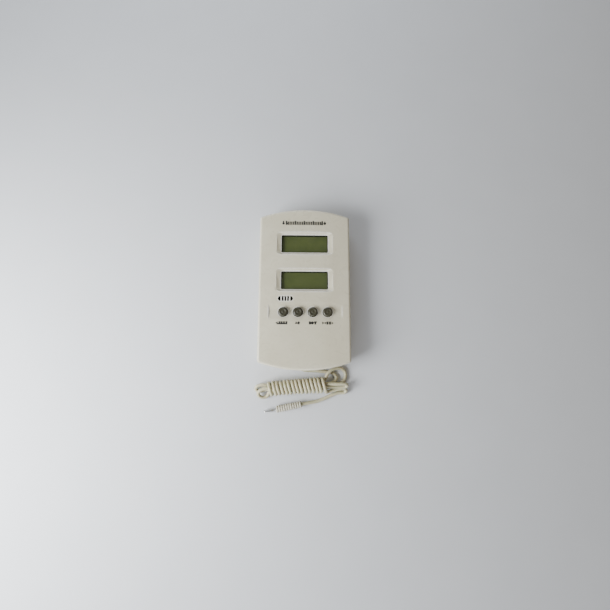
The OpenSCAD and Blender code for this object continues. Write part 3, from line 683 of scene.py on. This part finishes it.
# ---------------------------------------------------------------- window panes
# A clear acrylic pane drops into a seat behind each opening and is welded at its corners. It is
# polished on both sides, with the faint scratches of a cloth.
clear_acrylic, nodes, links, bsdf = shader("clear_acrylic", (0.8, 0.82, 0.8))
tree = clear_acrylic.node_tree
spot = nodes.new("ShaderNodeTexCoord").outputs["Object"]
touch = effect(tree, handling, spot, Smear_Scale=240.0)
links.new(ranged(tree, touch.outputs["Smear"], 0.35, 0.75, 0.05, 0.16), bsdf.inputs["Roughness"])
links.new(ranged(tree, touch.outputs["Smear"], 0.3, 0.8, 0.10, 0.17), bsdf.inputs["Alpha"])
links.new(tinted(tree, touch.outputs["Smear"], (0.05, 0.055, 0.045), (0.09, 0.095, 0.08)),
          bsdf.inputs["Base Color"])
bsdf.inputs["IOR"].default_value = 1.49
bsdf.inputs["Specular IOR Level"].default_value = 1.0


def finish_node(node, *materials):
    """Gives a CAD piece its finish, slot by slot."""
    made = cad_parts[node]
    made.data.materials.clear()
    for finish in materials:
        made.data.materials.append(finish)
    return made


for node in ("window_upper", "window_lower"):
    finish_node(node, clear_acrylic)

# ---------------------------------------------------------------- display glasses
# Two plates of glass with the liquid crystal between them, the rear plate longer for its contacts.
# The reflector behind makes them plain olive green, and a black seal runs round the edge.


def display_glass(name, middle):
    """Olive reflective finish for the glass whose middle stands at a place along the case."""
    made, nodes, links, bsdf = shader(name, (0.12, 0.15, 0.07))
    tree = made.node_tree
    spot = nodes.new("ShaderNodeTexCoord").outputs["Object"]
    centred = place(tree, "Mapping", Location=(0, -middle, 0))
    links.new(spot, centred.inputs["Vector"])
    parts = nodes.new("ShaderNodeSeparateXYZ")
    links.new(centred.outputs["Vector"], parts.inputs["Vector"])
    beyond_x = maths(tree, "SUBTRACT", maths(tree, "ABSOLUTE", parts.outputs["X"]), 0.01505)
    beyond_y = maths(tree, "SUBTRACT", maths(tree, "ABSOLUTE", parts.outputs["Y"]), 0.00555)
    seal = ranged(tree, maths(tree, "MAXIMUM", beyond_x, beyond_y), -0.0001, 0.00015)
    surface = effect(tree, moulded_grain, spot, Grain_Scale=6500.0, Cloud_Scale=90.0)
    field = tinted(tree, ranged(tree, surface.outputs["Cloud"], 0.3, 0.7),
                   (0.078, 0.104, 0.020), (0.108, 0.134, 0.032))
    grain = maths(tree, "MULTIPLY", surface.outputs["Height"], 0.35)
    grainy = tinted(tree, grain, field, (0.13, 0.155, 0.055))
    links.new(tinted(tree, seal, grainy, (0.006, 0.008, 0.005)), bsdf.inputs["Base Color"])
    links.new(ranged(tree, surface.outputs["Cloud"], 0, 1, 0.16, 0.30), bsdf.inputs["Roughness"])
    bumped(tree, surface.outputs["Height"], 0.1, 0.00001)
    return made


finish_node("lcd_upper", display_glass("display_upper", upper_y))
finish_node("lcd_lower", display_glass("display_lower", lower_y))

# ---------------------------------------------------------------- keys
# Four round caps of dark olive-grey silicone rubber, moulded with a soft rim, a dished ring and a
# small button in its middle. Each is pressed down against its dome and springs back.


def lathe(name, outline, foot=(0, 0, 0), heading=(0, 0, 1), steps=40):
    """Spins an outline of radius and height about an axis that leaves the foot along a heading."""
    bpy.ops.object.select_all(action="DESELECT")
    bpy.ops.mesh.primitive_plane_add(size=0.001, location=(0, 0, 0))
    made = fresh(name)
    mesh = edit(made, "VERT")
    mesh.verts.ensure_lookup_table()
    for corner in mesh.verts[1:]:
        corner.select_set(True)
    bmesh.update_edit_mesh(made.data)
    bpy.ops.mesh.delete(type="VERT")
    mesh = bmesh.from_edit_mesh(made.data)
    mesh.verts.ensure_lookup_table()
    mesh.verts[0].co = (outline[0][0], 0, outline[0][1])
    mesh.verts[0].select_set(True)
    bmesh.update_edit_mesh(made.data)
    for before, after in zip(outline, outline[1:]):
        step = (after[0] - before[0], 0, after[1] - before[1])
        bpy.ops.mesh.extrude_region_move(TRANSFORM_OT_translate={"value": step})
    bpy.ops.mesh.select_all(action="SELECT")
    bpy.ops.mesh.spin(steps=steps, angle=2 * pi, center=(0, 0, 0), axis=(0, 0, 1))
    bpy.ops.mesh.select_all(action="SELECT")
    bpy.ops.mesh.remove_doubles(threshold=0.000004)
    bpy.ops.mesh.normals_make_consistent(inside=False)
    close_edit(made)
    lay = Vector((0, 0, 1)).rotation_difference(Vector(heading).normalized()).to_matrix().to_4x4()
    made.data.transform(Matrix.Translation(foot) @ lay)
    smooth(made, 40)
    return made


def copy_of(piece, name, move):
    """A copy of a piece with its own mesh, moved by a matrix."""
    select_only(piece)
    bpy.ops.object.duplicate()
    made = bpy.context.object
    made.name = made.data.name = name
    made.data.transform(move)
    return made


cap_outline = [(0, 0.0089), (0.0027, 0.0089), (0.003, 0.0092), (0.003, 0.01655), (0.00295, 0.01682),
               (0.0028, 0.01705), (0.00256, 0.01723), (0.0023, 0.01734), (0.00205, 0.01736),
               (0.0018, 0.01730), (0.0015, 0.01718), (0.0012, 0.01708), (0.00095, 0.01704),
               (0.0008, 0.01708), (0.00066, 0.01716), (0.00045, 0.01722), (0.0002, 0.01725), (0, 0.01725)]
key_rubber = moulded("key_rubber", (0.036, 0.033, 0.016), (0.025, 0.023, 0.011), (0.09, 0.085, 0.05),
                     rough=(0.28, 0.42), grain=3200.0, strength=0.25, dust=0.03)
first_key = lathe("key_cap_1", cap_outline, (key_xs[0], key_y, 0))
first_key.data.materials.append(key_rubber)
keys = [first_key]
for i in (1, 2, 3):
    keys.append(copy_of(first_key, f"key_cap_{i + 1}", Matrix.Translation((key_xs[i] - key_xs[0], 0, 0))))
for i, cap in enumerate(keys, 1):
    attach(cap, f"key_{i}")
    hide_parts(f"button_{i}")

# ---------------------------------------------------------------- rubber domes and contact pills
# The keys sit on one sheet of the same rubber. A thin cone under each cap collapses under a finger
# and lets its carbon pill bridge two gold combs on the board.
carbon_pill = moulded("carbon_pill", (0.02, 0.02, 0.022), (0.012, 0.012, 0.013), (0.05, 0.05, 0.05),
                      rough=(0.6, 0.8))
finish_node("keypad_sheet", key_rubber)
for i in (1, 2, 3, 4):
    finish_node(f"dome_{i}", key_rubber)
    finish_node(f"pill_{i}", carbon_pill)

# ---------------------------------------------------------------- circuit board and its parts
# A green lacquered board carries a bonded chip under black resin, a quartz can, resistors, ceramic
# capacitors, the humidity plate and a bead thermistor below the vent.


def electronic(name, low, high, rough=(0.3, 0.5), metallic=0.0, grain=1800.0):
    """A small part's finish: two tones in soft clouds, with uneven gloss and a light bump."""
    made, nodes, links, bsdf = shader(name, high)
    tree = made.node_tree
    spot = nodes.new("ShaderNodeTexCoord").outputs["Object"]
    surface = effect(tree, moulded_grain, spot, Grain_Scale=grain, Cloud_Scale=380.0)
    touch = effect(tree, handling, spot, Smear_Scale=400.0)
    links.new(tinted(tree, surface.outputs["Cloud"], low, high), bsdf.inputs["Base Color"])
    links.new(ranged(tree, touch.outputs["Smear"], 0.3, 0.7, *rough), bsdf.inputs["Roughness"])
    bumped(tree, surface.outputs["Height"], 0.25, 0.00002)
    bsdf.inputs["Metallic"].default_value = metallic
    return made


board_lacquer = electronic("board_lacquer", (0.012, 0.085, 0.035), (0.02, 0.13, 0.055), rough=(0.22, 0.4))
black_resin = electronic("black_resin", (0.008, 0.008, 0.009), (0.02, 0.02, 0.02), rough=(0.18, 0.4))
quartz_can = electronic("quartz_can", (0.5, 0.5, 0.5), (0.72, 0.72, 0.7), rough=(0.18, 0.36), metallic=1.0)
resistor_body = electronic("resistor_body", (0.50, 0.36, 0.20), (0.62, 0.48, 0.30))
capacitor_lacquer = electronic("capacitor_lacquer", (0.50, 0.20, 0.03), (0.64, 0.30, 0.06), rough=(0.2, 0.4))
ceramic_comb = electronic("ceramic_comb", (0.045, 0.045, 0.04), (0.08, 0.08, 0.07), rough=(0.5, 0.7))
contact_rubber = electronic("contact_rubber", (0.03, 0.03, 0.032), (0.09, 0.09, 0.10), rough=(0.5, 0.8),
                            grain=3000.0)
for node, finish in (("circuit_board", board_lacquer), ("chip_blob", black_resin), ("crystal", quartz_can),
                     ("resistors", resistor_body), ("capacitors", capacitor_lacquer),
                     ("humidity_sensor", ceramic_comb), ("room_thermistor", black_resin),
                     ("probe_bead", black_resin), ("zebra_upper", contact_rubber),
                     ("zebra_lower", contact_rubber)):
    finish_node(node, finish)

# ---------------------------------------------------------------- wires
# Red and black hook-up wires run from the cell's contacts to the board, and two enamelled copper
# strands bring the probe's signal from the grommet.
battery_jacket, nodes, links, bsdf = shader("battery_jacket", (0.5, 0.03, 0.02))
tree = battery_jacket.node_tree
spot = nodes.new("ShaderNodeTexCoord").outputs["Object"]
parts = nodes.new("ShaderNodeSeparateXYZ")
links.new(spot, parts.inputs["Vector"])
on_right = ranged(tree, parts.outputs["X"], -0.0005, 0.0005)
surface = effect(tree, moulded_grain, spot, Grain_Scale=2400.0, Cloud_Scale=300.0)
shade = tinted(tree, on_right, (0.012, 0.012, 0.013), (0.45, 0.02, 0.015))
links.new(tinted(tree, maths(tree, "MULTIPLY", surface.outputs["Cloud"], 0.2), shade, (0.10, 0.06, 0.05)),
          bsdf.inputs["Base Color"])
links.new(ranged(tree, surface.outputs["Cloud"], 0, 1, 0.35, 0.55), bsdf.inputs["Roughness"])
bumped(tree, surface.outputs["Height"], 0.2, 0.00001)
finish_node("battery_wires", battery_jacket)
finish_node("sensor_wires", electronic("enamelled_copper", (0.55, 0.22, 0.08), (0.75, 0.34, 0.14), metallic=1.0))

# ---------------------------------------------------------------- cell and its contacts
# One penlight cell in a printed sleeve lies across the bay between a nickel-plated coil spring and
# a flat plate with a stud. The sleeve has plain bands, one dark and one silver, and bare steel ends.
nickel_plate = electronic("nickel_plate", (0.52, 0.51, 0.48), (0.74, 0.73, 0.70), rough=(0.2, 0.4),
                          metallic=1.0)
for node in ("battery_spring", "battery_plate", "battery_contact", "board_screws"):
    finish_node(node, nickel_plate)
cell_y, cell_z, cell_r = -0.037, 0.0071, 0.00525
cell_outline = [(0, 0), (0.0019, 0), (0.0022, 0.0003), (0.0022, 0.0011), (0.0024, 0.0013), (0.0043, 0.0013),
                (0.0047, 0.0009), (0.0050, 0.0009), (cell_r, 0.0012), (cell_r, 0.0120), (cell_r, 0.0240),
                (cell_r, 0.0360), (cell_r, 0.0440), (0.0050, 0.0444), (0.0046, 0.0444), (0.0043, 0.0441),
                (0.0040, 0.0443), (0, 0.0443)]
cell = lathe("penlight_cell", cell_outline, (0.0236, cell_y, cell_z), (-1, 0, 0), 48)
cell_sleeve, nodes, links, bsdf = shader("cell_sleeve", (0.03, 0.09, 0.30))
tree = cell_sleeve.node_tree
spot = nodes.new("ShaderNodeTexCoord").outputs["Object"]
parts = nodes.new("ShaderNodeSeparateXYZ")
links.new(spot, parts.inputs["Vector"])
bands = nodes.new("ShaderNodeValToRGB")
bands.color_ramp.interpolation = "CONSTANT"
for position, tone in ((0.05, (0.03, 0.09, 0.30)), (0.68, (0.62, 0.62, 0.60)), (0.74, (0.55, 0.05, 0.03)),
                       (0.955, (0.60, 0.59, 0.56))):
    bands.color_ramp.elements.new(position).color = (*tone, 1)
bands.color_ramp.elements[0].color = (0.60, 0.59, 0.56, 1)
along_cell = ranged(tree, parts.outputs["X"], -0.0209, 0.0236)
links.new(along_cell, bands.inputs["Fac"])
surface = effect(tree, moulded_grain, spot, Grain_Scale=2200.0, Cloud_Scale=200.0)
links.new(tinted(tree, maths(tree, "MULTIPLY", surface.outputs["Cloud"], 0.16), bands.outputs["Color"],
                 (0.30, 0.30, 0.30)), bsdf.inputs["Base Color"])
from_middle = maths(tree, "ABSOLUTE", maths(tree, "SUBTRACT", along_cell, 0.5))
links.new(maths(tree, "GREATER_THAN", from_middle, 0.455), bsdf.inputs["Metallic"])
links.new(ranged(tree, surface.outputs["Cloud"], 0, 1, 0.22, 0.38), bsdf.inputs["Roughness"])
bumped(tree, surface.outputs["Height"], 0.15, 0.00001)
cell.data.materials.append(cell_sleeve)
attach(cell, "case")
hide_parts("battery_cell")

# ---------------------------------------------------------------- rear cover
# The lower half of the case in the same ivory ABS, set in by a small step, its back edge eased. It
# has the bay of the cell, the bed of the stand, a keyhole for a wall hook and four sunk screws.
rear_step = 0.0008
cell_bay_y = 0.0056
stand_y, stand_l, stand_half = 0.033, 0.034, 0.014
stand_axis_z = 0.0015
hook_y, hook_top_y, hook_slot_r = 0.043, 0.048, 0.00175
tongue_x = 0.015
lead_exit_x, lead_exit_z = -0.004, 0.0032
door_low, door_high, door_half = -0.0448, -0.0292, 0.026
head_seat_r = 0.0023
rear_cover = arched_block("rear_shell", rear_step, 0, lambda x: split_z)
round_edges(rear_cover, is_upright, 0.0014, 5)
round_edges(rear_cover, lambda e: is_sharp(e) and max(v.co.z for v in e.verts) < 0.001, 0.0011, 5)
carve(rear_cover, arched_block("hollow", rear_step + wall, wall, lambda x: split_z + 0.001, 20, 18))
lip = arched_block("lip", wall + 0.0001, split_z - 0.001, lambda x: split_z + 0.001, 20, 18)
carve(lip, arched_block("lip_hollow", rear_step + wall, split_z - 0.002, lambda x: split_z + 0.002, 20, 18))
for x, y in case_posts:
    carve(lip, rod("clearance", (x, y, split_z), 0.0028, 0.002, 32))
carve(rear_cover, lip, "UNION")
for x, y in case_posts:
    carve(rear_cover, rod("post", (x, y, 0.0004), 0.0026, split_z - 0.00041, 32), "UNION")
carve(rear_cover, block("stand_block", (-stand_half - 0.003, stand_y - stand_l - 0.0036, 0.0003),
                        (stand_half + 0.003, stand_y + 0.003, 0.0044)), "UNION")
carve(rear_cover, block("notch_block", (-0.0096, -0.0503, 0.0004),
                        (0.0061, -0.0473, split_z - 0.00001)), "UNION")
bay = block("bay", (-0.0277, cell_y - cell_bay_y - 0.001, 0.0010),
            (0.0277, cell_y + cell_bay_y + 0.001, 0.0131))
carve(bay, block("bay_hollow", (-0.025, cell_y - cell_bay_y, 0), (0.025, cell_y + cell_bay_y, 0.0126)))
carve(rear_cover, bay, "UNION")
carve(rear_cover, rod("hook_boss", (0, hook_y, 0.0004), 0.0055, 0.0016, 40), "UNION")
carve(rear_cover, block("door_opening", (-door_half - 0.00025, door_low - 0.00025, -0.001),
                        (door_half + 0.00025, door_high + 0.00025, wall), 0.0005, 3))
carve(rear_cover, block("bay_clear", (-0.0249, cell_y - cell_bay_y + 0.0001, 0.0005),
                        (0.0249, cell_y + cell_bay_y - 0.0001, 0.0125)))
for side in (-1, 1):
    carve(rear_cover, block("tongue_pocket", (side * tongue_x - 0.0044, cell_y + cell_bay_y - 0.0002, 0.001),
                            (side * tongue_x + 0.0044, door_high + 0.00025, 0.0032)))
carve(rear_cover, block("stand_bed", (-stand_half - 0.0004, stand_y - stand_l - 0.0004, -0.001),
                        (stand_half + 0.0004, stand_y + 0.0017, 0.003), 0.0008, 3))
carve(rear_cover, rod("pin_bore", (-stand_half - 0.0018, stand_y, stand_axis_z), 0.00095, 0.0316, 24,
                      crosswise))
bpy.ops.object.select_all(action="DESELECT")
bpy.ops.mesh.primitive_uv_sphere_add(segments=48, ring_count=24, radius=0.0054,
                                     location=(0, stand_y - stand_l - 0.0004, -0.0034))
carve(rear_cover, fresh("finger_notch"))
carve(rear_cover, rod("hook_hole", (0, hook_y, -0.001), 0.0035, 0.004, 40))
carve(rear_cover, block("hook_slot", (-hook_slot_r, hook_y, -0.001), (hook_slot_r, hook_top_y, 0.004)))
carve(rear_cover, rod("hook_end", (0, hook_top_y, -0.001), hook_slot_r, 0.005, 32))
carve(rear_cover, block("lead_notch", (-0.008, -0.060, -0.001), (0.0045, -0.0489, split_z - 0.001),
                        0.0004, 2))
carve(rear_cover, rod("grommet_hole", (lead_exit_x, -0.0510, lead_exit_z), 0.0017, 0.0040, 32,
                      (-pi / 2, 0, 0)))
for x, y in case_posts:
    carve(rear_cover, rod("head_seat", (x, y, -0.001), head_seat_r, 0.0028, 40))
    carve(rear_cover, rod("screw_hole", (x, y, -0.001), 0.00125, 0.010, 24))
rear_cover.data.materials.append(case_ivory)
smooth(rear_cover)
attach(rear_cover, "case")
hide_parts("rear_cover")

# ---------------------------------------------------------------- battery door
# A thin ivory door closes the bay. Its rounded upper edge turns on two hooked tongues, and a sprung
# tongue with finger grooves, freed by two slots, snaps under the lower edge.
door_t = 0.0014
axis_y = door_high - door_t / 2
battery_door = block("door_panel", (-door_half, door_low, 0), (door_half, axis_y, door_t))
round_edges(battery_door, lambda e: is_upright(e) and e.verts[0].co.y < axis_y - 0.001, 0.0005, 3)
round_edges(battery_door, lambda e: is_sharp(e, 1.0) and max(v.co.z for v in e.verts) < 0.0002
            and max(v.co.y for v in e.verts) < axis_y - 0.0001, 0.00025, 3)
carve(battery_door, rod("hinge_edge", (-door_half, axis_y, door_t / 2), door_t / 2, 2 * door_half, 32,
                        crosswise), "UNION")
for side in (-1, 1):
    x = side * tongue_x
    carve(battery_door, block("tongue_root", (x - 0.004, axis_y - 0.0003, door_t / 2),
                              (x + 0.004, axis_y + 0.0005, 0.0024)), "UNION")
    carve(battery_door, block("tongue", (x - 0.00399, axis_y, 0.00175),
                              (x + 0.00399, axis_y + 0.0019, 0.00239)), "UNION")
for side in (-1, 1):
    carve(battery_door, block("latch_slot", (side * 0.005 - 0.0004, door_low - 0.001, -0.001),
                              (side * 0.005 + 0.0004, door_low + 0.005, 0.003), 0.0002, 2))
for i in range(3):
    carve(battery_door, rod("finger_groove", (-0.0035, door_low + 0.0016 + 0.0015 * i, 0), 0.0004, 0.007, 20,
                            crosswise))
battery_door.data.materials.append(case_ivory)
smooth(battery_door)
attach(battery_door, "door")
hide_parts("battery_door")

# ---------------------------------------------------------------- folding stand
# A flat ivory leg lies flush in its bed and swings out on two stub pins to prop the instrument up.
# Its inner side is cored out, and four grooves near the free end give the nail a hold.
leg_low, leg_high = 0.0003, 0.0021
stand = block("stand_leg", (-stand_half, stand_y - stand_l, leg_low), (stand_half, stand_y, leg_high))
round_edges(stand, lambda e: is_upright(e) and e.verts[0].co.y < 0.010, 0.0015, 5)
round_edges(stand, lambda e: is_sharp(e, 1.0) and max(v.co.z for v in e.verts) < 0.0005, 0.0003, 3)
carve(stand, rod("barrel", (-stand_half, stand_y, stand_axis_z), 0.0012, 2 * stand_half, 40,
                 crosswise), "UNION")
carve(stand, rod("pins", (-stand_half - 0.0015, stand_y, stand_axis_z), 0.0009, 2 * stand_half + 0.003, 32,
                 crosswise), "UNION")
for i in range(4):
    groove_y = stand_y - stand_l + 0.0024 + 0.0016 * i
    carve(stand, rod("nail_groove", (-0.010, groove_y, leg_low), 0.0004, 0.020, 20, crosswise))
carve(stand, block("core", (-stand_half + 0.004, stand_y - stand_l + 0.010, leg_low + 0.0011),
                   (stand_half - 0.004, stand_y - 0.004, 0.005), 0.0008, 3))
stand.data.materials.append(case_ivory)
smooth(stand)
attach(stand, "stand")
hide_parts("stand")

# ---------------------------------------------------------------- case screws
# Four pan-headed self-tapping screws of zinc-plated steel pass through the back into the posts of
# the front cover. Each head has a cross recess, and the shank a coarse thread.
zinc_steel = electronic("zinc_steel", (0.42, 0.42, 0.43), (0.66, 0.66, 0.66), rough=(0.22, 0.42),
                        metallic=1.0)
head_low = 0.0005
screw_outline = [(0, head_low), (0.0013, head_low), (0.0017, head_low + 0.00015), (0.0020, head_low + 0.0006),
                 (0.0020, head_low + 0.0013), (0.0010, head_low + 0.0013)]
for i in range(16):
    z = head_low + 0.0015 + 0.00055 * i
    screw_outline += [(0.00084, z), (0.00099, z + 0.00022), (0.00084, z + 0.00044)]
screw_outline += [(0.0004, 0.0111), (0, 0.0113)]
first_screw = lathe("case_screw_1", screw_outline, (*case_posts[0], 0), steps=28)
for turn in (0, pi / 2):
    groove = block("cross", (-0.0011, -0.00025, head_low - 0.0006), (0.0011, 0.00025, head_low + 0.0006))
    groove.data.transform(Matrix.Translation((*case_posts[0], 0)) @ Matrix.Rotation(turn + 0.4, 4, "Z"))
    carve(first_screw, groove)
first_screw.data.materials.append(zinc_steel)
screws = [first_screw]
for i, (x, y) in enumerate(case_posts[1:], 2):
    to_post = Matrix.Translation((x, y, 0)) @ Matrix.Rotation(0.7 * i, 4, "Z")
    from_first = Matrix.Translation((-case_posts[0][0], -case_posts[0][1], 0))
    screws.append(copy_of(first_screw, f"case_screw_{i}", to_post @ from_first))
for made in screws:
    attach(made, "case")
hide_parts("case_screws")

# ---------------------------------------------------------------- lead grommet
# A soft white vinyl bush snaps into the wall of the notch. Its two flanges hold the wall between
# them and its bore grips the lead.
bore_r, neck_in_wall_r, flange_r = 0.00112, 0.00168, 0.0022
grommet_outline = [(bore_r, -0.0022), (0.0019, -0.0022), (flange_r, -0.0020), (flange_r, -0.0018),
                   (0.0020, -0.0016), (neck_in_wall_r, -0.0016), (neck_in_wall_r, 0.0), (0.0020, 0.0),
                   (flange_r, 0.0002), (flange_r, 0.0004), (0.0019, 0.0006), (0.0014, 0.0008),
                   (bore_r, 0.0008), (bore_r, -0.0022)]
grommet = lathe("grommet_bush", grommet_outline, (lead_exit_x, -0.0489, lead_exit_z), (0, -1, 0), 36)
grommet.data.materials.append(lead_vinyl)
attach(grommet, "case")
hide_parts("lead_grommet")

# ---------------------------------------------------------------- probe sleeve
# A ribbed white vinyl sleeve is moulded over the end of the lead. Its rings grow smaller towards
# the tip, with a slight shoulder a third of the way along.
probe_start = Vector((-0.0016, -0.0760, 0.00235))
probe_heading = Vector((cos(radians(191.5)), sin(radians(191.5)), 0))
sleeve_l, rib_count = 0.0167, 11
rib_pitch = sleeve_l / rib_count
sleeve_outline = [(0, 0), (0.0012, 0), (0.0021, 0.0001)]
for i in range(rib_count):
    r = 0.0023 - (0.00013 if i < 4 else 0) - (0.0001 if i == rib_count - 1 else 0)
    z = i * rib_pitch
    for share, sunk in ((0.06, 0.00042), (0.16, 0.00012), (0.32, 0), (0.62, 0), (0.80, 0.00012),
                        (0.92, 0.00042)):
        sleeve_outline.append((r - sunk, z + share * rib_pitch))
sleeve_outline += [(0.0016, sleeve_l - 0.00002), (0.0012, sleeve_l), (0, sleeve_l)]
sleeve = lathe("ribbed_sleeve", sleeve_outline, probe_start, probe_heading, 36)
sleeve_vinyl = moulded("sleeve_vinyl", (0.53, 0.50, 0.40), (0.40, 0.37, 0.28), (0.78, 0.77, 0.72),
                       rough=(0.36, 0.5), grain=3000.0)
sleeve.data.materials.append(sleeve_vinyl)
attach(sleeve, "case")
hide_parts("probe_sleeve")

# ---------------------------------------------------------------- probe tip
# A drawn nickel-plated tube with a rounded end holds the thermistor bead. It is necked down where it
# enters the sleeve.
tip_r, neck_r, neck_l, tip_l = 0.0011, 0.00065, 0.0023, 0.006
tip_outline = [(0, 0), (neck_r, 0), (neck_r, neck_l - 0.0004), (neck_r + 0.00015, neck_l - 0.0001),
               (tip_r - 0.0001, neck_l + 0.0003), (tip_r, neck_l + 0.0006)]
dome_foot = neck_l + tip_l - tip_r
tip_outline += [(tip_r * cos(pi / 12 * i), dome_foot + tip_r * sin(pi / 12 * i)) for i in range(6)]
tip_outline += [(0, neck_l + tip_l)]
tip = lathe("nickel_tip", tip_outline, probe_start + probe_heading * sleeve_l, probe_heading, 32)
probe_nickel = electronic("probe_nickel", (0.44, 0.44, 0.43), (0.68, 0.67, 0.65), rough=(0.30, 0.45),
                          metallic=0.9, grain=2600.0)
tip.data.materials.append(probe_nickel)
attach(tip, "case")
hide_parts("probe_tip")

bpy.context.view_layer.update()
